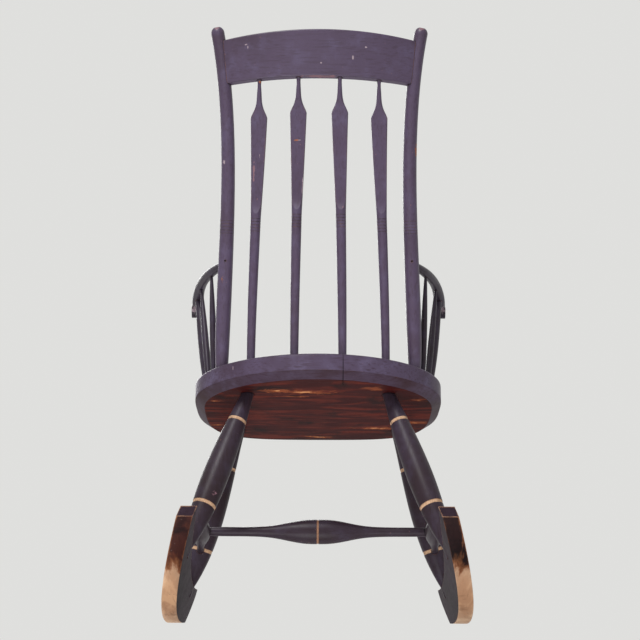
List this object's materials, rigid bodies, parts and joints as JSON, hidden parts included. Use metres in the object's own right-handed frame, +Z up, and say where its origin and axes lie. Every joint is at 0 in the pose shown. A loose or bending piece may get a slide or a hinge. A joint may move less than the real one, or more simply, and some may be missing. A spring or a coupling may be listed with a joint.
{
  "type": "rocking chair",
  "caption": "Arrow-back wooden rocking chair with a curved crest rail, slender scrolled arms, a plank seat and ringed, splayed legs on two rockers.",
  "frame": {"origin": "Middle of the chair's bounding box in plan, at floor level, with the chair standing at its resting angle on its rockers.", "axes": "+Z up, +X the sitter's left, -Y the way the sitter faces. The chair is symmetric in X."},
  "size_m": [0.6534, 0.778, 1.1336],
  "materials": {
    "back_paint": "dark aubergine paint, satin, worn through at the edges",
    "seat_paint": "dark aubergine paint above, rubbed red-brown wood below",
    "turning_paint": "dark aubergine paint with worn tan rings",
    "rocker_paint": "dark aubergine paint, bare tan wood on the treads",
    "pin_wood": "dark painted peg"
  },
  "bodies": {
    "root": {"arm_left": "back_paint", "arm_pin_left": "pin_wood", "arm_pin_right": "pin_wood", "arm_post_left": "back_paint", "arm_post_right": "back_paint", "arm_right": "back_paint", "arm_spindle_middle_left": "pin_wood", "arm_spindle_middle_right": "pin_wood", "arm_spindle_rear_left": "pin_wood", "arm_spindle_rear_right": "pin_wood", "back_post_left": "back_paint", "back_post_right": "back_paint", "back_spindle_inner_left": "pin_wood", "back_spindle_inner_right": "pin_wood", "back_spindle_outer_left": "pin_wood", "back_spindle_outer_right": "pin_wood", "crest_rail": "back_paint", "front_leg_left": "turning_paint", "front_leg_right": "turning_paint", "medial_stretcher": "turning_paint", "rear_leg_left": "turning_paint", "rear_leg_right": "turning_paint", "rocker_left": "rocker_paint", "rocker_right": "rocker_paint", "seat_plank": "seat_paint", "side_stretcher_left": "turning_paint", "side_stretcher_right": "turning_paint"}
  },
  "joints": []
}
